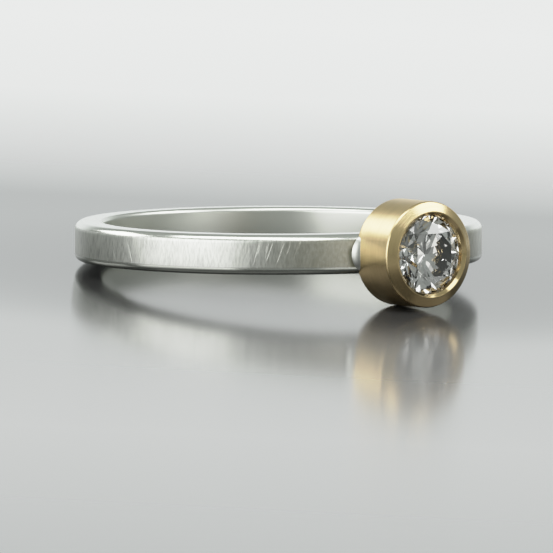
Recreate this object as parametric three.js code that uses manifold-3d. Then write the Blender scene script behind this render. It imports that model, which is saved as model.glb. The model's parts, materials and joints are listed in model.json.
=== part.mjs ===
// A stackable finger ring: a flat band of white metal, a round bezel of yellow gold soldered
// across its front, and one round brilliant-cut stone held in the bezel.
// Millimetres, +Z up. The ring lies on a level surface as it settles there by itself: on the
// back edge of its bezel and on the far lower edge of its band. The bezel looks along -Y.
// The origin is on that surface, under the middle of the ring.

import * as THREE from 'three';
import { ConvexGeometry } from 'three/addons/geometries/ConvexGeometry.js';
import { mergeVertices } from 'three/addons/utils/BufferGeometryUtils.js';
import Module from 'manifold-3d';

// Band
const fingerDiameter = 17.3;
const bandWall = 1.4;
const bandWidth = 1.95;
const outerEdgeRadius = 0.2;
const innerEdgeRadius = 0.25;

// Stone: shares are of its diameter, or of the radius between two outlines
const stoneDiameter = 4.0;
const tableShare = 0.565;
const girdleShare = 0.03;
const starShare = 0.5;
const lowerHalfShare = 0.77;
const crownAngle = THREE.MathUtils.degToRad(34.5);
const pavilionAngle = THREE.MathUtils.degToRad(40.75);
const stoneFold = 8;
const stoneTurn = THREE.MathUtils.degToRad(22.5);

// Bezel, whose axis runs out through the middle of the band
const bezelInset = 0.5;
const bezelWall = 0.55;
const bezelBackRadius = 0.12;
const stoneClearance = 0.05;
const culetRoom = 0.5;
const seatWidth = 0.5;
const lipGrip = 0.11;
const lipDepth = 0.3;
const lipFlat = 0.05;
const bevelRise = 0.31;
const bevelWidth = 0.48;

// Solder collar, on the band's outer face round the foot of the bezel
const collarWidth = 0.45;
const collarRise = 0.12;

// Steps of the round shapes
const bandSegments = 96;
const bezelSegments = 64;
const edgeSteps = 3;
const collarSteps = 4;

const whiteMetal = new THREE.MeshStandardMaterial({ color: 0xc4c6bd, metalness: 1, roughness: 0.34 });
const clearStone = new THREE.MeshStandardMaterial({ color: 0xe6e9ea, metalness: 0, roughness: 0.02 });

const wasm = await Module();
wasm.setup();

const boreRadius = fingerDiameter / 2;
const bandRadius = boreRadius + bandWall;
const stoneRadius = stoneDiameter / 2;
const girdleHeight = girdleShare * stoneDiameter;
const pavilionDepth = stoneRadius * Math.tan(pavilionAngle);

const bezelRadius = stoneRadius + stoneClearance + bezelWall;
const bezelBack = bandRadius - bezelInset;
const girdleFloor = bezelBack + culetRoom + pavilionDepth;
const girdleTop = girdleFloor + girdleHeight;
const footRadius = stoneRadius - lipGrip;
const footHeight = girdleTop + lipGrip * Math.tan(crownAngle) + stoneClearance / Math.cos(crownAngle);
const lipHeight = footHeight + lipDepth;
const lipRadius = bezelRadius - bevelWidth;
const cupRadius = stoneRadius - seatWidth;

// Points of a quarter-turn arc, from the angle start on
function quarterArc(x, y, radius, start) {
  const points = [];
  for (let i = 0; i <= edgeSteps; i += 1) {
    const angle = start + (i / edgeSteps) * (Math.PI / 2);
    points.push(new THREE.Vector2(x + radius * Math.cos(angle), y + radius * Math.sin(angle)));
  }
  return points;
}

// A closed body of revolution about Y, from a profile given once round against the clock
function revolve(profile, segments) {
  return new THREE.LatheGeometry([...profile, profile[0]], segments);
}

function solidOf(geometry) {
  geometry.deleteAttribute('normal');
  geometry.deleteAttribute('uv');
  const merged = mergeVertices(geometry);
  return new wasm.Manifold(new wasm.Mesh({
    numProp: 3,
    vertProperties: merged.getAttribute('position').array,
    triVerts: Uint32Array.from(merged.index.array),
  }));
}

function geometryOf(solid) {
  const { vertProperties, triVerts } = solid.getMesh();
  const geometry = new THREE.BufferGeometry();
  geometry.setAttribute('position', new THREE.BufferAttribute(vertProperties, 3));
  geometry.setIndex(new THREE.BufferAttribute(triVerts, 1));
  geometry.computeVertexNormals();
  return geometry;
}

// The band about the ring's axis Z, flat outside with rounded edges
function bandSolid() {
  const half = bandWidth / 2;
  const profile = [
    ...quarterArc(bandRadius - outerEdgeRadius, outerEdgeRadius - half, outerEdgeRadius, -Math.PI / 2),
    ...quarterArc(bandRadius - outerEdgeRadius, half - outerEdgeRadius, outerEdgeRadius, 0),
    ...quarterArc(boreRadius + innerEdgeRadius, half - innerEdgeRadius, innerEdgeRadius, Math.PI / 2),
    ...quarterArc(boreRadius + innerEdgeRadius, innerEdgeRadius - half, innerEdgeRadius, Math.PI),
  ];
  return solidOf(revolve(profile, bandSegments).rotateX(Math.PI / 2));
}

// The bezel's cup about -Y: back edge, side, bevel, lip, wall down to the stone, seat and open back
function bezelSolid() {
  const tip = stoneRadius * (1 - lowerHalfShare);
  const flare = (stoneRadius - tip * Math.cos(Math.PI / stoneFold)) / (stoneRadius - tip);
  const seatSlope = Math.tan(pavilionAngle) * flare;
  const ledgeRadius = stoneRadius + stoneClearance;
  const profile = [
    new THREE.Vector2(cupRadius, bezelBack),
    ...quarterArc(bezelRadius - bezelBackRadius, bezelBack + bezelBackRadius, bezelBackRadius, -Math.PI / 2),
    new THREE.Vector2(bezelRadius, lipHeight - bevelRise),
    new THREE.Vector2(lipRadius, lipHeight),
    new THREE.Vector2(lipRadius - lipFlat, lipHeight),
    new THREE.Vector2(footRadius, footHeight),
    new THREE.Vector2(ledgeRadius, girdleTop + stoneClearance),
    new THREE.Vector2(ledgeRadius, girdleFloor - stoneClearance),
    new THREE.Vector2(cupRadius, girdleFloor - stoneClearance - (ledgeRadius - cupRadius) * seatSlope),
  ];
  return solidOf(revolve(profile, bezelSegments).rotateX(Math.PI));
}

// The room inside the cup, which the band doesn't fill
function cupRoom() {
  const height = lipHeight - bezelBack;
  const room = new THREE.CylinderGeometry(cupRadius, cupRadius, height, bezelSegments);
  return solidOf(room.translate(0, -bezelBack - height / 2, 0));
}

// The solder drawn up between the band's outer face and the bezel, no wider than the flat face
function collarSolid() {
  const outer = bezelRadius + collarWidth;
  const inner = bezelRadius - bezelWall / 2;
  const faceAt = (x) => Math.sqrt(bandRadius ** 2 - x ** 2);
  const low = faceAt(outer);
  const high = faceAt(bezelRadius) + collarRise;
  const profile = [new THREE.Vector2(inner, bezelBack), new THREE.Vector2(outer, bezelBack)];
  for (let i = 0; i <= collarSteps; i += 1) {
    const angle = (i / collarSteps) * (Math.PI / 2);
    const x = outer - collarWidth * Math.sin(angle);
    profile.push(new THREE.Vector2(x, high - (high - low) * Math.cos(angle)));
  }
  profile.push(new THREE.Vector2(inner, high));
  const ring = solidOf(revolve(profile, bezelSegments).rotateX(Math.PI));
  const face = new THREE.BoxGeometry(2 * outer, 2 * high, bandWidth - 2 * outerEdgeRadius);
  return ring.intersect(solidOf(face.translate(0, -high, 0)));
}

// The corners of a round brilliant about -Y, with its girdle's lower edge at the height girdleFloor
function stoneCorners() {
  const corners = [];
  const half = Math.PI / stoneFold;
  const corner = (radius, halves, height) => {
    const angle = stoneTurn + halves * half;
    corners.push(new THREE.Vector3(radius * Math.sin(angle), -height, radius * Math.cos(angle)));
  };
  const tableRadius = stoneRadius * tableShare;
  const starRadius = tableRadius + starShare * (stoneRadius - tableRadius);
  const tipRadius = stoneRadius * (1 - lowerHalfShare);
  const crownAt = (reach) => girdleTop + (stoneRadius - reach) * Math.tan(crownAngle);
  const pavilionAt = (reach) => girdleFloor - (stoneRadius - reach) * Math.tan(pavilionAngle);
  for (let i = 0; i < stoneFold; i += 1) {
    corner(tableRadius, 2 * i, crownAt(tableRadius));
    corner(starRadius, 2 * i + 1, crownAt(starRadius * Math.cos(half)));
    corner(tipRadius, 2 * i + 1, pavilionAt(tipRadius * Math.cos(half)));
  }
  for (let i = 0; i < 2 * stoneFold; i += 1) {
    corner(stoneRadius, i, girdleTop);
    corner(stoneRadius, i, girdleFloor);
  }
  corner(0, 0, girdleFloor - pavilionDepth);
  return corners;
}

function metalwork() {
  const metal = bandSolid().subtract(cupRoom()).add(bezelSolid()).add(collarSolid());
  const mesh = new THREE.Mesh(geometryOf(metal), whiteMetal);
  mesh.name = 'band_and_bezel';
  return mesh;
}

function stone() {
  const mesh = new THREE.Mesh(new ConvexGeometry(stoneCorners()), clearStone);
  mesh.name = 'stone';
  return mesh;
}

// How far the ring tips back on the surface: the slope of the line that touches the bezel's
// rounded back edge and the band's far lower edge from below
function restAngle() {
  const near = new THREE.Vector2(-bezelBack - bezelBackRadius, bezelBackRadius - bezelRadius);
  const far = new THREE.Vector2(bandRadius - outerEdgeRadius, outerEdgeRadius - bandWidth / 2);
  const span = near.distanceTo(far);
  const rise = Math.atan2(far.y - near.y, far.x - near.x);
  return rise + Math.asin((bezelBackRadius - outerEdgeRadius) / span);
}

const ring = new THREE.Group();
ring.add(metalwork(), stone());
ring.rotation.x = -restAngle();

const part = new THREE.Group();
part.add(ring);
const box = new THREE.Box3().setFromObject(part, true);
const middle = box.getCenter(new THREE.Vector3());
ring.position.set(-middle.x, -middle.y, -box.min.z);

export default part;
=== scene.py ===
"""A stackable ring that lies on a pale table: a brushed band, a yellow gold bezel and a brilliant.

Lengths are in metres. The pieces are made in the ring's own frame, with its axis along Z and its bezel
looking along -Y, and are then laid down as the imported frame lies.
"""

import json
import math

import bmesh
import bpy
from bpy.props import FloatProperty, FloatVectorProperty, IntProperty, PointerProperty
from mathutils import Matrix, Vector


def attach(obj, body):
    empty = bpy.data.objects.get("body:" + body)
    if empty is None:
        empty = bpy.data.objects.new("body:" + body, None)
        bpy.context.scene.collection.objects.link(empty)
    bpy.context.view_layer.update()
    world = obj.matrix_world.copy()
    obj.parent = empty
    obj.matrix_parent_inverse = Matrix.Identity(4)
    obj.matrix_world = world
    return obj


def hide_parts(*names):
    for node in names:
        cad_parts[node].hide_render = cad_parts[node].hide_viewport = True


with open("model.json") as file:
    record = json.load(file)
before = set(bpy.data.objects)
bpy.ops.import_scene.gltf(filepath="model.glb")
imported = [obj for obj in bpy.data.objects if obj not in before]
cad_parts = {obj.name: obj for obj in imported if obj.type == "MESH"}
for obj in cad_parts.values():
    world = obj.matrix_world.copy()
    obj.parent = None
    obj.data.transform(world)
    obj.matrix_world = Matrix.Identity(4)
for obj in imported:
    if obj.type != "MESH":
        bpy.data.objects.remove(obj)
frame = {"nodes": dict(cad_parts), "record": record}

bl_info = {
    "name": "Stackable ring",
    "version": (1, 0, 0),
    "blender": (4, 5, 0),
    "location": "View3D > Sidebar > Ring",
    "description": "Makes a brushed band, its gold bezel and its stone, and lays them on a table",
    "category": "Object",
}

MM = 0.001
METAL_NODE = "band_and_bezel"
STONE_NODE = "stone"


def length(name, description, millimetres):
    return FloatProperty(
        name=name,
        description=description,
        default=millimetres * MM,
        min=0.0,
        unit="LENGTH",
        precision=5,
    )


def angle(name, description, degrees):
    return FloatProperty(
        name=name, description=description, default=math.radians(degrees), subtype="ANGLE"
    )


def share(name, description, value):
    return FloatProperty(
        name=name, description=description, default=value, min=0.0, max=1.0, subtype="FACTOR"
    )


def number(name, description, value):
    return FloatProperty(name=name, description=description, default=value)


def count(name, description, value):
    return IntProperty(name=name, description=description, default=value, min=3)


def colour(name, description, value):
    return FloatVectorProperty(
        name=name, description=description, default=value, size=3, min=0.0, max=1.0, subtype="COLOR"
    )


class RingBandSettings(bpy.types.PropertyGroup):
    bore: length("Bore", "Inside diameter, for the finger", 17.3)
    wall: length("Wall", "Thickness of the band", 1.4)
    width: length("Width", "Height of the band along its axis", 1.95)
    outer_edge: length("Outer edge", "Radius of the outer edge on the side that lies up", 0.30)
    worn_edge: length("Worn edge", "Radius of the outer edge on the side that lies down", 0.40)
    inner_edge: length("Inner edge", "Radius of the two inner edges", 0.25)
    flat_radius: length("Flat radius", "From the axis to the record's points on the flats", 9.375)
    segments: count("Segments", "Steps round the band", 720)
    metal: colour("Metal", "Colour of the white metal", (0.77, 0.785, 0.74))


class RingBezelSettings(bpy.types.PropertyGroup):
    radius: length("Radius", "Outer radius of the cup", 2.6)
    back: length("Back", "How far the back of the cup lies from the ring's axis", 9.55)
    back_edge: length("Back edge", "Radius of the back edge", 0.12)
    lip: length("Lip", "How far the lip lies from the ring's axis", 12.33)
    bevel_rise: length("Bevel rise", "Height of the bevel along the cup", 0.31)
    bevel_width: length("Bevel width", "Width of the bevel across the cup", 0.48)
    crease: length("Crease", "Radius of the edge between side and bevel", 0.16)
    lip_edge: length("Lip edge", "Radius of the edge between bevel and lip", 0.05)
    lip_flat: length("Lip flat", "Width of the flat on the lip", 0.05)
    bright_cut: length("Bright cut", "Width and depth of the bright cut inside the lip", 0.14)
    foot: length("Foot", "Radius where the inner wall meets the stone", 1.885)
    foot_drop: length("Foot drop", "How far below the lip the inner wall meets the stone", 0.335)
    ledge: length("Ledge", "Inner radius round the girdle of the stone", 2.03)
    ledge_drop: length("Ledge drop", "How far below the foot the room round the girdle begins", 0.12)
    ledge_height: length("Ledge height", "Height of the room round the girdle", 0.18)
    seat_drop: length("Seat drop", "Height of the slanting seat under the girdle", 0.48)
    room: length("Room", "Radius of the open back of the cup", 1.5)
    room_edge: length("Room edge", "Radius of the two edges of the open back", 0.05)
    crisp_edge: length("Crisp edge", "Radius of the edges beside the stone", 0.015)
    segments: count("Segments", "Steps round the cup", 256)
    gold: colour("Gold", "Colour of the yellow gold", (0.83, 0.63, 0.335))


class RingSolderSettings(bpy.types.PropertyGroup):
    seam: length("Seam", "How far the band reaches into the wall of the cup", 0.02)
    depth: length("Depth", "How far the solder goes into the band and the cup", 0.05)
    thin: length("Thin", "Its thickness where it runs out", 0.004)
    spread: length("Spread", "How far the polished solder runs out over the band", 0.27)
    rise: length("Rise", "How far it climbs the side of the cup", 0.25)
    bulge: share("Bulge", "Height of its bulge, as a share of its width", 0.05)


class RingStageSettings(bpy.types.PropertyGroup):
    azimuth: angle("Azimuth", "Direction of the camera, from the way that the bezel looks", -37.37)
    elevation: angle("Elevation", "Height of the camera above the plane of the band", 4.53)
    distance: length("Distance", "From the camera to the middle of the ring", 600.0)
    scale: number("Scale", "Pixels of the frame to a millimetre", 20.242)
    centre_x: number("Centre X", "Pixel column of the ring's middle", 278.45)
    centre_y: number("Centre Y", "Pixel row of the ring's middle", 239.66)


class Value:
    """A socket of a shader tree. Arithmetic on it adds Math nodes."""

    def __init__(self, nodes, socket):
        self.nodes = nodes
        self.socket = socket

    def __add__(self, other):
        return self.nodes.math("ADD", self, other)

    __radd__ = __add__

    def __sub__(self, other):
        return self.nodes.math("SUBTRACT", self, other)

    def __rsub__(self, other):
        return self.nodes.math("SUBTRACT", other, self)

    def __mul__(self, other):
        return self.nodes.math("MULTIPLY", self, other)

    __rmul__ = __mul__

    def __truediv__(self, other):
        return self.nodes.math("DIVIDE", self, other)

    def __abs__(self):
        return self.nodes.math("ABSOLUTE", self)

    def __neg__(self):
        return self.nodes.math("MULTIPLY", self, -1.0)


class Nodes:
    """Adds nodes to one tree."""

    def __init__(self, tree):
        self.tree = tree
        tree.nodes.clear()

    def node(self, kind, settings=None, sockets=None):
        """A node of one kind. Its settings are set first, then the values or links of its sockets."""
        made = self.tree.nodes.new(kind)
        for name, value in (settings or {}).items():
            if name == "stops":
                self._set_stops(made.color_ramp, value)
            else:
                setattr(made, name, value)
        for name, value in (sockets or {}).items():
            if isinstance(value, Value):
                self.tree.links.new(value.socket, made.inputs[name])
            else:
                made.inputs[name].default_value = value
        return made

    def value(self, kind, settings=None, sockets=None, output=0):
        return Value(self, self.node(kind, settings, sockets).outputs[output])

    def math(self, operation, *terms):
        return self.value("ShaderNodeMath", {"operation": operation}, dict(enumerate(terms)))

    def step(self, value, low, high):
        """0 below low, 1 above high and smooth between. With low above high it runs the other way."""
        return self.value(
            "ShaderNodeMapRange",
            {"interpolation_type": "SMOOTHSTEP"},
            {"Value": value, "From Min": low, "From Max": high},
        )

    def mix(self, factor, first, second):
        return self.value(
            "ShaderNodeMix",
            {"data_type": "RGBA"},
            {"Factor": factor, 6: first, 7: second},
            output=2,
        )

    def noise(self, x, y, z, detail=2.0, roughness=0.5):
        place = self.value("ShaderNodeCombineXYZ", None, {0: x, 1: y, 2: z})
        return self.value(
            "ShaderNodeTexNoise",
            None,
            {"Vector": place, "Scale": 1.0, "Detail": detail, "Roughness": roughness},
        )

    def ramp(self, value, tones, tint=(1.0, 1.0, 1.0)):
        """A colour ramp from pairs of a place and a level, in one tint."""
        stops = [(place, [level * channel for channel in tint]) for place, level in tones]
        return self.value("ShaderNodeValToRGB", {"stops": stops}, {"Fac": value})

    def bump(self, height, depth):
        return self.value(
            "ShaderNodeBump", None, {"Strength": 1.0, "Distance": depth, "Height": height}
        )

    @staticmethod
    def _set_stops(ramp, stops):
        while len(ramp.elements) < len(stops):
            ramp.elements.new(1.0)
        for element, (place, shade) in zip(ramp.elements, stops, strict=True):
            element.position = place
            element.color = (*shade, 1.0)


def opaque(shade):
    return (*shade, 1.0)


def direction(azimuth, elevation):
    """The unit vector at an azimuth, counted from the way the bezel looks, and an elevation."""
    flat = math.cos(elevation)
    return Vector((math.sin(azimuth) * flat, -math.cos(azimuth) * flat, math.sin(elevation)))


def ring_matrix():
    """From the ring's own frame to the row frame, worked out from the record's two stacking faces."""
    band = bpy.context.scene.ring_band
    faces = {mount["name"]: mount for mount in frame["record"]["mounts"]}
    lower, upper = faces["lower_stacking_face"], faces["upper_stacking_face"]
    up = Vector(upper["axis"]).normalized()
    right = Vector((1.0, 0.0, 0.0))
    back = up.cross(right)
    middle = (Vector(lower["pos_m"]) + Vector(upper["pos_m"])) / 2
    centre = middle - back * band.flat_radius
    turn = Matrix((right, back, up)).transposed().to_4x4()
    return Matrix.Translation(centre) @ turn


def new_material(name):
    material = bpy.data.materials.new(name)
    material.use_nodes = True
    return material, Nodes(material.node_tree)


def ring_place(nodes):
    """The three coordinates of a point in the ring's own frame, in millimetres."""
    laid = ring_matrix()
    turned = nodes.value(
        "ShaderNodeMapping",
        {"vector_type": "TEXTURE"},
        {
            "Vector": nodes.value("ShaderNodeTexCoord", output="Object"),
            "Location": laid.to_translation(),
            "Rotation": laid.to_euler(),
            "Scale": (MM, MM, MM),
        },
    )
    split = nodes.node("ShaderNodeSeparateXYZ", None, {0: turned})
    return [Value(nodes, split.outputs[i]) for i in range(3)]


def surface(nodes, sockets):
    shader = nodes.value("ShaderNodeBsdfPrincipled", None, sockets)
    nodes.node("ShaderNodeOutputMaterial", None, {"Surface": shader})


def on_line(nodes, across, along, start, end, width):
    """1 on a straight line over a surface, fading to 0 at half its width and towards both ends."""
    middle = (Vector(start) + Vector(end)) / 2
    run = Vector(end) - Vector(start)
    reach = run.length / 2
    run.normalize()
    off = abs((across - middle.x) * run.y - (along - middle.y) * run.x)
    far = abs((across - middle.x) * run.x + (along - middle.y) * run.y)
    return nodes.step(off, width / 2, 0.0) * nodes.step(far, reach, reach * 0.6)


# Each scratch: its two ends, as millimetres round the band from the middle of the bezel and
# millimetres up from the middle of the face, then its width in millimetres and its strength
SCRATCHES = (
    ((-7.47, 0.73), (-7.84, -0.60), 0.09, 0.5),
    ((-6.82, 0.69), (-7.19, -0.35), 0.10, 0.9),
    ((-6.25, 0.73), (-6.68, -0.47), 0.10, 1.0),
    ((-5.51, 0.73), (-5.92, -0.44), 0.08, 0.45),
    ((-7.14, 0.66), (-7.23, -0.44), 0.07, 0.4),
    ((-5.51, 0.76), (-5.51, 0.50), 0.10, 0.7),
    ((-5.05, 0.76), (-5.06, 0.52), 0.10, 0.7),
    ((-4.16, 0.20), (-3.43, 0.45), 0.06, 0.5),
    ((-4.22, -0.18), (-3.43, 0.18), 0.06, 0.4),
    ((-4.17, -0.12), (-3.37, -0.42), 0.06, 0.4),
    ((-16.13, 0.37), (-15.64, -0.66), 0.10, 0.5),
    ((-14.82, 0.46), (-14.44, -0.69), 0.10, 0.6),
    ((-13.70, 0.57), (-13.51, 0.28), 0.08, 0.5),
    ((-13.16, 0.64), (-13.23, 0.20), 0.08, 0.5),
)
# Where short scratches lie close together, in millimetres round the band, and how far they reach
SCRATCHED_AT = -6.3
SCRATCHED_REACH = (3.4, 1.6)
# A painted reflection of the gold bezel, dark and olive, fades in between these distances, in
# millimetres round the band
BEZEL_REFLECTION_REACH = (8.5, 4.0)
BEZEL_REFLECTION_TINT = (0.40, 0.38, 0.29)
# Painted shade on the band's lower rounded edge
UNDERSIDE_SHADE = (0.30, 0.33, 0.28)
# Painted shadow beside the solder
SOLDER_SHADOW_TINT = (0.10, 0.11, 0.08)
BLACK = (0.0, 0.0, 0.0)
CLEAR = (1.0, 1.0, 1.0)
# Shares of a metal's colour in its dark and light marks, the painted glint of its scratches, its
# solder and its painted shadows
DARK_MARK = 0.64
LIGHT_MARK = 1.08
SCRATCH_GLINT = 1.2
SOLDER_SHADE = 0.88
TURNED_MARK = 0.86
GOLD_SHADOW = 0.3
# Roughness where the white metal is polished, and what its satin bore and brushed face add to it
POLISHED = 0.17
SATIN = 0.14
BRUSHED = 0.11
SOLDER_ROUGHNESS = 0.28
GOLD_ROUGHNESS = 0.21
# Depth in metres of the brushed marks and of the turned ones
BRUSHED_DEPTH = 6e-6
TURNED_DEPTH = 4e-6
DIAMOND_INDEX = 2.417
# Width in millimetres of the painted shadow that lies low beside the solder, and of its rim all round
# it
SOLDER_SHADOW_WIDTH = 0.36
SHADOW_RIM_WIDTH = 0.14
# The lower this power, the fuller the solder stays towards the edges of the band
SOLDER_TAPER = 0.7
# Edges that turn by more than this are drawn sharp
BAND_SHARP = math.radians(35)
SOLDER_SHARP = math.radians(50)


def brushing(nodes, around, height):
    """Fine marks across the band, longer slanted ones and broad unevenness, each from 0 to 1."""
    sway = 0.3 * nodes.noise(around * 0.5, height * 0.6, 0.0)
    fine = nodes.noise((around + 0.06 * height + sway) * 11.0, height * 1.6, 1.0, 4.0, 0.7)
    slanted = nodes.noise((around - 0.30 * height - sway) * 7.0, height * 0.8, 5.0, 3.0, 0.65)
    broad = nodes.noise(around * 1.7, height * 0.9, 2.0)
    return fine, slanted, broad


def scratching(nodes, around, height, fine, slanted):
    """The scratches of the table above, broken up by the brushing, and short ones between them."""
    scratch = 0.0
    for start, end, width, strength in SCRATCHES:
        scratch = scratch + strength * on_line(nodes, around, height, start, end, width)
    scratch = nodes.math("MINIMUM", scratch, 1.0) * nodes.step(fine, 0.2, 0.5)
    close = nodes.step(abs(around - SCRATCHED_AT), *SCRATCHED_REACH)
    return scratch + 0.4 * (nodes.step(slanted, 0.60, 0.68) * close)


def painted_solder_shadow(nodes, around, height):
    """1 in the painted shadow beside the solder, which is wide below the middle of the face."""
    scene = bpy.context.scene
    half = scene.ring_band.width / 2 / MM
    cup = scene.ring_bezel.radius / MM
    level = nodes.math("MAXIMUM", 1.0 - height * height / (half * half), 0.0)
    swell = nodes.math("POWER", level, SOLDER_TAPER)
    shore = nodes.math("SQRT", cup * cup - height * height) + scene.ring_solder.spread / MM * swell
    off = abs(around) - shore
    wide = nodes.step(off, SOLDER_SHADOW_WIDTH, 0.06) * nodes.step(height, half * 0.6, half * 0.2)
    return nodes.math("MAXIMUM", wide, 0.8 * nodes.step(off, SHADOW_RIM_WIDTH, 0.05))


def tinted(shade, factor):
    return opaque([min(1.0, channel * factor) for channel in shade])


def brushed_metal():
    """White metal: scratched and brushed across its face, satin in its bore, polished on its edges,
    with painted shadow beside the solder and on its lower edge and a painted reflection of the bezel.
    """
    band = bpy.context.scene.ring_band
    material, nodes = new_material("brushed_white_metal")
    x, y, z = ring_place(nodes)
    radius = nodes.math("SQRT", x * x + y * y)
    bore = band.bore / 2 / MM
    outer = bore + band.wall / MM
    half = band.width / 2 / MM
    top = half - band.outer_edge / MM
    foot = half - band.worn_edge / MM
    around = nodes.math("ARCTAN2", x, -y) * outer

    face = nodes.step(radius, outer - 0.08, outer - 0.02)
    face = face * nodes.step(z, top + 0.1, top) * nodes.step(z, -foot - 0.1, -foot)
    inside = nodes.step(radius, bore + 0.2, bore + 0.05)
    shaded_underside = nodes.step(z, 0.05 - foot, 0.1 - half)
    bezel_reflected = face * nodes.step(abs(around), *BEZEL_REFLECTION_REACH)
    solder_shadowed = face * painted_solder_shadow(nodes, around, z)
    fine, slanted, broad = brushing(nodes, around, z)
    grain = 0.5 * fine + 0.35 * slanted + 0.15 * broad
    scratch = face * scratching(nodes, around, z, fine, slanted)
    mottle = nodes.noise(around * 5.0, z * 5.0, 7.0, 3.0, 0.6)

    dark, light = tinted(band.metal, DARK_MARK), tinted(band.metal, LIGHT_MARK)
    worn = nodes.mix(nodes.step(grain, 0.34, 0.60), dark, light)
    tone = nodes.mix(face, opaque(band.metal), worn)
    # Scratches lighten the colour: a painted glint along the real grooves that the bump cuts
    tone = nodes.mix(0.8 * scratch, tone, tinted(band.metal, SCRATCH_GLINT))
    # Painted reflection of the gold bezel: a mottled dark olive on the face near the bezel
    tone = nodes.mix((0.3 + 0.8 * mottle) * bezel_reflected, tone, opaque(BEZEL_REFLECTION_TINT))
    # Painted shade darkens the band's lower rounded edge and the flat that lies down
    tone = nodes.mix(0.5 * shaded_underside, tone, opaque(UNDERSIDE_SHADE))
    # Painted shadow beside the solder: a thin rim all round it, wide below the middle of the face
    tone = nodes.mix(0.8 * solder_shadowed, tone, opaque(SOLDER_SHADOW_TINT))
    roughness = POLISHED + SATIN * inside + face * (BRUSHED + 0.12 * fine) + 0.1 * scratch
    depth = face * (grain - 1.2 * scratch)
    bump = nodes.bump(depth, BRUSHED_DEPTH)
    surface(nodes, {"Base Color": tone, "Metallic": 1.0, "Roughness": roughness, "Normal": bump})
    return material


def polished_metal():
    """The same white metal where it is polished, as on the solder."""
    band = bpy.context.scene.ring_band
    material, nodes = new_material("polished_white_metal")
    x, y, z = ring_place(nodes)
    waves = nodes.noise(x * 1.5, y * 1.5, z * 1.5)
    shade = tinted(band.metal, SOLDER_SHADE)
    roughness = SOLDER_ROUGHNESS + 0.1 * waves
    surface(nodes, {"Base Color": shade, "Metallic": 1.0, "Roughness": roughness})
    return material


def turned_gold():
    """Yellow gold: satin on its side, with faint marks of the turning, brighter on bevel and lip."""
    bezel = bpy.context.scene.ring_bezel
    material, nodes = new_material("yellow_gold")
    x, y, z = ring_place(nodes)
    radius = nodes.math("SQRT", x * x + z * z)
    height = -y
    wall = bezel.radius / MM
    lip_inside = (bezel.radius - bezel.bevel_width) / MM
    crease = (bezel.lip - bezel.bevel_rise) / MM
    side = nodes.step(height, crease + 0.02, crease - 0.08)
    side = side * nodes.step(radius, wall - 0.12, wall - 0.02)
    inner = nodes.step(radius, lip_inside, lip_inside - 0.04)
    around = nodes.math("ARCTAN2", x, z)
    marks = nodes.noise(height * 14.0, around * 1.8, radius * 14.0, 3.0, 0.65)
    cloud = nodes.noise(x * 1.3, height * 1.3, z * 1.3)
    grain = 0.6 * marks + 0.4 * cloud
    dark, light = tinted(bezel.gold, TURNED_MARK), opaque(bezel.gold)
    tone = nodes.mix(nodes.step(grain, 0.3, 0.65), dark, light)
    tone = nodes.mix(0.35 * nodes.step(z, 0.2, -1.2), tone, tinted(bezel.gold, GOLD_SHADOW))
    roughness = GOLD_ROUGHNESS - 0.08 * inner + side * (0.05 + 0.12 * marks)
    depth = marks + 2.0 * cloud
    bump = nodes.bump(depth, TURNED_DEPTH)
    surface(nodes, {"Base Color": tone, "Metallic": 1.0, "Roughness": roughness, "Normal": bump})
    return material


def clear_stone():
    """A colourless, highly refracting stone."""
    material, nodes = new_material("clear_brilliant")
    surface(
        nodes,
        {
            "Base Color": opaque(CLEAR),
            "Roughness": 0.0,
            "IOR": DIAMOND_INDEX,
            "Transmission Weight": 1.0,
        },
    )
    return material


def rounded(corners, steps=6, support=0.15):
    """A closed profile whose corners are arcs. Each corner is x, y and its radius.

    A support point stands a little off each end of an arc, at a share of the arc's run, so that the
    straight stretches shade flat.
    """
    points = []
    for i, (x, y, radius) in enumerate(corners):
        here = Vector((x, y))
        if radius <= 0.0:
            points.append(here)
            continue
        before = (Vector(corners[i - 1][:2]) - here).normalized()
        after = (Vector(corners[(i + 1) % len(corners)][:2]) - here).normalized()
        half = before.angle(after) / 2
        run = radius / math.tan(half)
        middle = here + (before + after).normalized() * (radius / math.sin(half))
        start = here + before * run - middle
        end = here + after * run - middle
        sweep = start.angle_signed(end)
        points.append(here + before * run * (1 + support))
        for k in range(steps + 1):
            points.append(middle + Matrix.Rotation(-sweep * k / steps, 2) @ start)
        points.append(here + after * run * (1 + support))
    return points


def revolved(name, profile, segments, place):
    """A closed profile turned once. place(x, y, angle) says where a profile point lies at an angle."""
    mesh = bmesh.new()
    step = 2 * math.pi / segments
    rings = [
        [mesh.verts.new(place(point.x, point.y, i * step)) for point in profile]
        for i in range(segments)
    ]
    size = len(profile)
    for i, ring in enumerate(rings):
        following = rings[(i + 1) % segments]
        for k in range(size):
            mesh.faces.new((ring[k], ring[(k + 1) % size], following[(k + 1) % size], following[k]))
    return finished_mesh(mesh, name)


def finished_mesh(mesh, name):
    bmesh.ops.recalc_face_normals(mesh, faces=mesh.faces)
    data = bpy.data.meshes.new(name)
    mesh.to_mesh(data)
    mesh.free()
    data.shade_smooth()
    return data


def added(name, data):
    piece = bpy.data.objects.new(name, data)
    bpy.context.scene.collection.objects.link(piece)
    return piece


def evaluated_mesh(piece):
    """The mesh that the piece's modifiers make. The modifiers are removed."""
    graph = bpy.context.evaluated_depsgraph_get()
    data = bpy.data.meshes.new_from_object(piece.evaluated_get(graph), depsgraph=graph)
    piece.modifiers.clear()
    return data


def handed_over(piece, material, node):
    """Lays the piece down in the row frame, gives it its material, hangs it on the root body and hides
    the node that it stands for.
    """
    piece.data.transform(ring_matrix())
    piece.data.materials.clear()
    piece.data.materials.append(material)
    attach(piece, "root")
    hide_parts(node)


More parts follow.
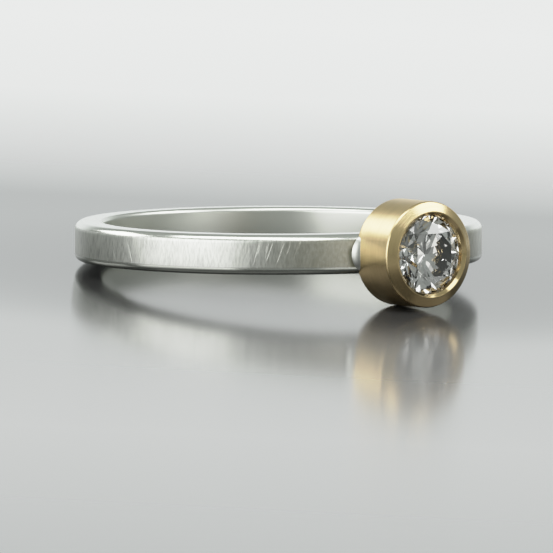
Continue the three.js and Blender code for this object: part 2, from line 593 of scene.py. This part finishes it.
def band_tree():
    """A nodes tree that sweeps a rounded rectangle round a circle."""
    tree = bpy.data.node_groups.new("band_sweep", "GeometryNodeTree")
    nodes = Nodes(tree)
    for name in ("Bore", "Wall", "Width", "Outer Edge", "Worn Edge", "Inner Edge"):
        tree.interface.new_socket(name, in_out="INPUT", socket_type="NodeSocketFloat")
    tree.interface.new_socket("Segments", in_out="INPUT", socket_type="NodeSocketInt")
    tree.interface.new_socket("Material", in_out="INPUT", socket_type="NodeSocketMaterial")
    tree.interface.new_socket("Geometry", in_out="OUTPUT", socket_type="NodeSocketGeometry")
    given = nodes.node("NodeGroupInput")
    size = {socket.name: Value(nodes, socket) for socket in given.outputs if socket.name}
    circle = nodes.value(
        "GeometryNodeCurvePrimitiveCircle",
        {"mode": "RADIUS"},
        {"Resolution": size["Segments"], "Radius": size["Bore"] / 2 + size["Wall"] / 2},
    )
    box = nodes.value(
        "GeometryNodeCurvePrimitiveQuadrilateral",
        {"mode": "RECTANGLE"},
        {"Width": size["Wall"], "Height": size["Width"]},
    )
    where = nodes.node("ShaderNodeSeparateXYZ", None, {0: nodes.value("GeometryNodeInputPosition")})
    outside = nodes.math("GREATER_THAN", Value(nodes, where.outputs[0]), 0.0)
    above = nodes.math("GREATER_THAN", Value(nodes, where.outputs[1]), 0.0)
    outer = above * size["Outer Edge"] + (1.0 - above) * size["Worn Edge"]
    radius = outside * outer + (1.0 - outside) * size["Inner Edge"]
    profile = nodes.value(
        "GeometryNodeFilletCurve", {"mode": "POLY"}, {"Curve": box, "Count": 10, "Radius": radius}
    )
    sweep = nodes.value("GeometryNodeCurveToMesh", None, {"Curve": circle, "Profile Curve": profile})
    real = nodes.value("GeometryNodeRealizeInstances", None, {"Geometry": sweep})
    painted = nodes.value(
        "GeometryNodeSetMaterial", None, {"Geometry": real, "Material": size["Material"]}
    )
    nodes.node("NodeGroupOutput", None, {"Geometry": painted})
    return tree


class RING_OT_band(bpy.types.Operator):
    """Sweeps the band, cuts the seat of the bezel out of it and brushes it"""

    bl_idname = "ring.band"
    bl_label = "Band"

    def execute(self, context):
        bezel = context.scene.ring_bezel
        seam = context.scene.ring_solder.seam
        metal = brushed_metal()
        piece = added("band", self.swept_mesh(context.scene.ring_band, metal))
        cutter = self.cutter(bezel.radius - seam, bezel.back + seam, bezel.lip, bezel.segments)
        cut = piece.modifiers.new("Seat", "BOOLEAN")
        cut.operation = "DIFFERENCE"
        cut.solver = "EXACT"
        cut.object = cutter
        data = evaluated_mesh(piece)
        bpy.data.objects.remove(cutter)
        piece.data = data
        data.shade_smooth()
        data.set_sharp_from_angle(angle=BAND_SHARP)
        handed_over(piece, metal, METAL_NODE)
        weights = piece.modifiers.new("Flat faces", "WEIGHTED_NORMAL")
        weights.keep_sharp = True
        return {"FINISHED"}

    def swept_mesh(self, band, metal):
        """The whole band, as the geometry nodes sweep it from its sizes."""
        swept = added("band_sweep", bpy.data.meshes.new("band_sweep"))
        tree = band_tree()
        modifier = swept.modifiers.new("Sweep", "NODES")
        modifier.node_group = tree
        sizes = {
            "Bore": band.bore,
            "Wall": band.wall,
            "Width": band.width,
            "Outer Edge": band.outer_edge,
            "Worn Edge": band.worn_edge,
            "Inner Edge": band.inner_edge,
            "Segments": band.segments,
            "Material": metal,
        }
        for socket in tree.interface.items_tree:
            if socket.in_out == "INPUT":
                modifier[socket.identifier] = sizes[socket.name]
        data = evaluated_mesh(swept)
        bpy.data.objects.remove(swept)
        return data

    def cutter(self, radius, low, high, segments):
        """The round plug that takes the room of the cup out of the band."""
        mesh = bmesh.new()
        turn = Matrix.Rotation(math.radians(90), 4, "X")
        place = Matrix.Translation((0.0, -(low + high) / 2, 0.0)) @ turn
        bmesh.ops.create_cone(
            mesh,
            cap_ends=True,
            segments=segments,
            radius1=radius,
            radius2=radius,
            depth=high - low,
            matrix=place,
        )
        return added("seat_cutter", finished_mesh(mesh, "seat_cutter"))


class RING_OT_bezel(bpy.types.Operator):
    """Turns the gold cup with its bevelled lip, its wall down to the stone, its seat and open back"""

    bl_idname = "ring.bezel"
    bl_label = "Bezel"

    def execute(self, context):
        bezel = context.scene.ring_bezel
        crease = bezel.lip - bezel.bevel_rise
        lip_out = bezel.radius - bezel.bevel_width
        cut_in = lip_out - bezel.lip_flat - bezel.bright_cut
        foot = bezel.lip - bezel.foot_drop
        ledge_top = foot - bezel.ledge_drop
        ledge_floor = ledge_top - bezel.ledge_height
        profile = rounded(
            [
                (bezel.room, bezel.back, bezel.room_edge),
                (bezel.radius, bezel.back, bezel.back_edge),
                (bezel.radius, crease, bezel.crease),
                (lip_out, bezel.lip, bezel.lip_edge),
                (lip_out - bezel.lip_flat, bezel.lip, bezel.crisp_edge),
                (cut_in, bezel.lip - bezel.bright_cut, bezel.crisp_edge),
                (bezel.foot, foot, bezel.crisp_edge),
                (bezel.ledge, ledge_top, 0.0),
                (bezel.ledge, ledge_floor, 0.0),
                (bezel.room, ledge_floor - bezel.seat_drop, bezel.room_edge),
            ]
        )

        def place(radius, height, turn):
            return (radius * math.sin(turn), -height, radius * math.cos(turn))

        piece = added("bezel", revolved("bezel", profile, bezel.segments, place))
        handed_over(piece, turned_gold(), METAL_NODE)
        return {"FINISHED"}


class RING_OT_solder(bpy.types.Operator):
    """Draws the polished solder up between the band and both sides of the bezel"""

    bl_idname = "ring.solder"
    bl_label = "Solder"

    ROWS = 64
    STEPS = 12
    # How near the outermost rows come to the ends of the solder
    REACH = 0.999
    # The share of the band's rounded edge that the solder leaves free
    FREE_EDGE = 0.35

    def execute(self, context):
        mesh = bmesh.new()
        for side in (-1.0, 1.0):
            self.add_side(mesh, side)
        piece = added("solder", finished_mesh(mesh, "solder"))
        piece.data.set_sharp_from_angle(angle=SOLDER_SHARP)
        handed_over(piece, polished_metal(), METAL_NODE)
        return {"FINISHED"}

    def face_radius(self, z):
        """Radius of the band's outer face at a height, less where its edge rounds off."""
        band = bpy.context.scene.ring_band
        edge = band.outer_edge if z > 0 else band.worn_edge
        over = max(0.0, abs(z) - (band.width / 2 - edge))
        return band.bore / 2 + band.wall - edge + math.sqrt(edge**2 - over**2)

    def add_side(self, mesh, side):
        """A half-moon of solder, in rows up the band, each from the band over its bulge to the cup."""
        band = bpy.context.scene.ring_band
        bezel = bpy.context.scene.ring_bezel
        solder = bpy.context.scene.ring_solder
        sunk = solder.depth
        rows = []
        for i in range(self.ROWS + 1):
            level = self.REACH * math.sin(math.pi * (i / self.ROWS - 0.5))
            z = level * (band.width / 2 - band.outer_edge * self.FREE_EDGE)
            swell = (1 - level * level) ** SOLDER_TAPER
            spread = solder.spread * swell + solder.thin
            rise = solder.rise * swell + solder.thin
            inner = math.sqrt(bezel.radius**2 - z * z)
            face = self.face_radius(z)
            row = []
            for k in range(self.STEPS + 1):
                share_in = k / self.STEPS
                x = inner + spread * (1 - share_in)
                y = math.sqrt(face**2 - x * x) + rise * share_in
                out = solder.bulge * 4 * share_in * (1 - share_in) * math.hypot(spread, rise)
                row.append((side * (x + out), -(y + out), z))
            high = math.sqrt(face**2 - inner**2) + rise
            low = math.sqrt(face**2 - (inner + spread) ** 2) - sunk
            row.append((side * (inner - sunk), -high, z))
            row.append((side * (inner - sunk), -low, z))
            row.append((side * (inner + spread), -low, z))
            rows.append([mesh.verts.new(point) for point in row])
        size = len(rows[0])
        for first, second in zip(rows, rows[1:]):
            for k in range(size):
                mesh.faces.new((first[k], first[(k + 1) % size], second[(k + 1) % size], second[k]))
        mesh.faces.new(rows[0])
        mesh.faces.new(reversed(rows[-1]))


class RING_OT_stone(bpy.types.Operator):
    """Gives the cut stone its clear, bright material"""

    bl_idname = "ring.stone"
    bl_label = "Stone"

    def execute(self, context):
        stone = frame["nodes"][STONE_NODE]
        stone.material_slots[0].material = clear_stone()
        return {"FINISHED"}


class RING_OT_stage(bpy.types.Operator):
    """Lays the table, hangs the soft lights and sets the camera"""

    bl_idname = "ring.stage"
    bl_label = "Table, lights and camera"

    FRAME = 553

    # Azimuth and elevation, width and height in degrees as the ring sees them, brightness and tint.
    # Azimuths count from the camera; those on its left are negative.
    SOFTBOXES = {
        "front_left": (-54.0, 17.0, 60.0, 34.0, 1.8, (1.0, 1.0, 0.98)),
        "back_left": (-118.0, 29.0, 36.0, 19.0, 2.5, (1.0, 1.0, 0.98)),
        "right": (95.0, 46.0, 50.0, 26.0, 2.2, (1.0, 1.0, 0.98)),
        "high_front": (-30.0, 70.0, 70.0, 30.0, 2.3, (1.0, 1.0, 0.98)),
        "front_right": (44.0, 10.0, 36.0, 13.0, 0.8, (1.0, 0.98, 0.93)),
    }
    SOFTBOX_DISTANCE = 0.8
    # Power over area of an area light whose surface shows at a brightness of 1
    SOFTBOX_POWER = 4.0
    # How light the table is, by millimetres behind the ring as the camera sees it, up to its reach;
    # the dark stretch round the ring is a painted shadow
    TABLE_REACH = 100.0
    TABLE_AND_SHADOW_TONES = (
        (-100.0, 0.14),
        (-50.0, 0.28),
        (-18.0, 0.22),
        (0.0, 0.08),
        (26.0, 0.05),
        (45.0, 0.42),
        (68.0, 0.80),
        (100.0, 0.95),
    )
    # Close round the ring only this share of the tone shows, as a painted shadow, and all of it past
    # the second distance
    SHADOW_SHARE = 0.3
    SHADOW_REACH = (12.0, 24.0)
    TABLE_HALF = 3.0
    # How light the room is, by the height of a direction
    ROOM_TONES = ((0.0, 0.23), (0.4, 0.33), (1.0, 0.42))
    ROOM_TINT = (0.93, 1.0, 0.93)
    BACKDROP = (1.07, 1.11, 1.10)
    # Where the backdrop fades in, by how far back a direction points, and where it ends, by its height
    BACKDROP_SIDES = (0.72, 0.93)
    BACKDROP_TOP = (0.42, 0.16)
    # What the film makes of a brightness: straight at first, then a shoulder that ends at its white
    WHITE = 4.0
    SHOULDER = ((0.0, 0.0), (0.45, 0.45), (0.8, 0.70), (1.3, 0.86), (2.2, 0.95), (4.0, 1.0))

    def execute(self, context):
        self.lay_table()
        self.set_camera(context.scene)
        self.set_world(context.scene)
        self.set_film(context.scene)
        for name, box in self.SOFTBOXES.items():
            self.hang_softbox(name, *box)
        return {"FINISHED"}

    def lay_table(self):
        mesh = bmesh.new()
        bmesh.ops.create_grid(mesh, x_segments=4, y_segments=4, size=self.TABLE_HALF)
        table = added("table", finished_mesh(mesh, "table"))
        material, nodes = new_material("pale_table")
        stage = bpy.context.scene.ring_stage
        place = nodes.value("ShaderNodeTexCoord", output="Object")
        split = nodes.node("ShaderNodeSeparateXYZ", None, {0: place})
        east, north = [Value(nodes, split.outputs[i]) for i in range(2)]
        behind = north * (math.cos(stage.azimuth) / MM) - east * (math.sin(stage.azimuth) / MM)
        reach = self.TABLE_REACH
        stops = [((at / reach + 1.0) / 2, level) for at, level in self.TABLE_AND_SHADOW_TONES]
        tone = nodes.ramp((behind / reach + 1.0) / 2.0, stops)
        # Painted shadow: the table darkens close round the ring
        far = nodes.step(nodes.math("SQRT", east * east + north * north) / MM, *self.SHADOW_REACH)
        tone = nodes.mix(self.SHADOW_SHARE + (1 - self.SHADOW_SHARE) * far, opaque(BLACK), tone)
        surface(nodes, {"Base Color": tone, "Roughness": 0.13})
        table.data.materials.append(material)

    def set_camera(self, scene):
        stage = scene.ring_stage
        laid = ring_matrix()
        back = direction(stage.azimuth, stage.elevation)
        right = Vector((math.cos(stage.azimuth), math.sin(stage.azimuth), 0.0))
        up = back.cross(right)
        pixel = MM / stage.scale
        aim = (
            right * ((self.FRAME / 2 - stage.centre_x) * pixel)
            + up * ((stage.centre_y - self.FRAME / 2) * pixel)
        )
        turn = Matrix((right, up, back)).transposed().to_4x4()
        data = bpy.data.cameras.new("camera")
        data.sensor_width = 36.0
        data.lens = data.sensor_width * stage.distance / (self.FRAME * pixel)
        data.clip_start = 0.01
        data.clip_end = 10.0
        camera = added("camera", data)
        camera.matrix_world = laid @ Matrix.Translation(aim + back * stage.distance) @ turn
        scene.camera = camera

    def hang_softbox(self, name, azimuth, elevation, width, height, brightness, tint):
        distance = self.SOFTBOX_DISTANCE
        data = bpy.data.lights.new(name, "AREA")
        data.shape = "RECTANGLE"
        data.size = 2 * distance * math.tan(math.radians(width / 2))
        data.size_y = 2 * distance * math.tan(math.radians(height / 2))
        data.energy = self.SOFTBOX_POWER * brightness * data.size * data.size_y
        data.color = tint
        light = added(name, data)
        turn = math.radians(azimuth) + bpy.context.scene.ring_stage.azimuth
        back = direction(turn, math.radians(elevation))
        light.location = back * distance
        light.rotation_mode = "QUATERNION"
        light.rotation_quaternion = back.to_track_quat("Z", "Y")
        light.visible_camera = False

    def set_world(self, scene):
        world = bpy.data.worlds.new("studio")
        world.use_nodes = True
        scene.world = world
        nodes = Nodes(world.node_tree)
        place = nodes.value("ShaderNodeTexCoord", output="Generated")
        split = nodes.node("ShaderNodeSeparateXYZ", None, {0: place})
        east, north, high = [Value(nodes, split.outputs[i]) for i in range(3)]
        toward = scene.ring_stage.azimuth
        behind = -(east * math.sin(toward)) + north * math.cos(toward)
        backdrop = nodes.step(behind, *self.BACKDROP_SIDES) * nodes.step(high, *self.BACKDROP_TOP)
        room = nodes.ramp(high, self.ROOM_TONES, self.ROOM_TINT)
        shade = nodes.mix(backdrop, room, opaque(self.BACKDROP))
        light = nodes.value("ShaderNodeBackground", None, {"Color": shade, "Strength": 1.0})
        nodes.node("ShaderNodeOutputWorld", None, {"Surface": light})

    def set_film(self, scene):
        view = scene.view_settings
        view.view_transform = "Standard"
        view.use_curve_mapping = True
        mapping = view.curve_mapping
        mapping.white_level = (self.WHITE, self.WHITE, self.WHITE)
        # The fourth curve is the one for all three channels
        points = mapping.curves[3].points
        while len(points) < len(self.SHOULDER):
            points.new(0.5, 0.5)
        for point, (given, shown) in zip(points, self.SHOULDER, strict=True):
            point.location = (given / self.WHITE, shown)
        mapping.update()


class RING_PT_pieces(bpy.types.Panel):
    """Lists the pieces of the ring with their sizes"""

    bl_idname = "RING_PT_pieces"
    bl_label = "Stackable ring"
    bl_space_type = "VIEW_3D"
    bl_region_type = "UI"
    bl_category = "Ring"

    def draw(self, context):
        for name, group in SETTINGS.items():
            settings = getattr(context.scene, name)
            box = self.layout.box()
            for prop in group.bl_rna.properties:
                if prop.identifier in group.__annotations__:
                    box.prop(settings, prop.identifier)
        for operator in OPERATORS:
            self.layout.operator(operator.bl_idname)


SETTINGS = {
    "ring_band": RingBandSettings,
    "ring_bezel": RingBezelSettings,
    "ring_solder": RingSolderSettings,
    "ring_stage": RingStageSettings,
}
OPERATORS = (RING_OT_stage, RING_OT_band, RING_OT_bezel, RING_OT_solder, RING_OT_stone)


def register():
    for group in (*SETTINGS.values(), *OPERATORS, RING_PT_pieces):
        bpy.utils.register_class(group)
    for name, group in SETTINGS.items():
        setattr(bpy.types.Scene, name, PointerProperty(type=group))


def unregister():
    for name in SETTINGS:
        delattr(bpy.types.Scene, name)
    for group in reversed((*SETTINGS.values(), *OPERATORS, RING_PT_pieces)):
        bpy.utils.unregister_class(group)


def main():
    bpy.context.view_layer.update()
    register()
    bpy.ops.ring.stage()
    bpy.ops.ring.band()
    bpy.ops.ring.bezel()
    bpy.ops.ring.solder()
    bpy.ops.ring.stone()


if __name__ == "__main__":
    main()
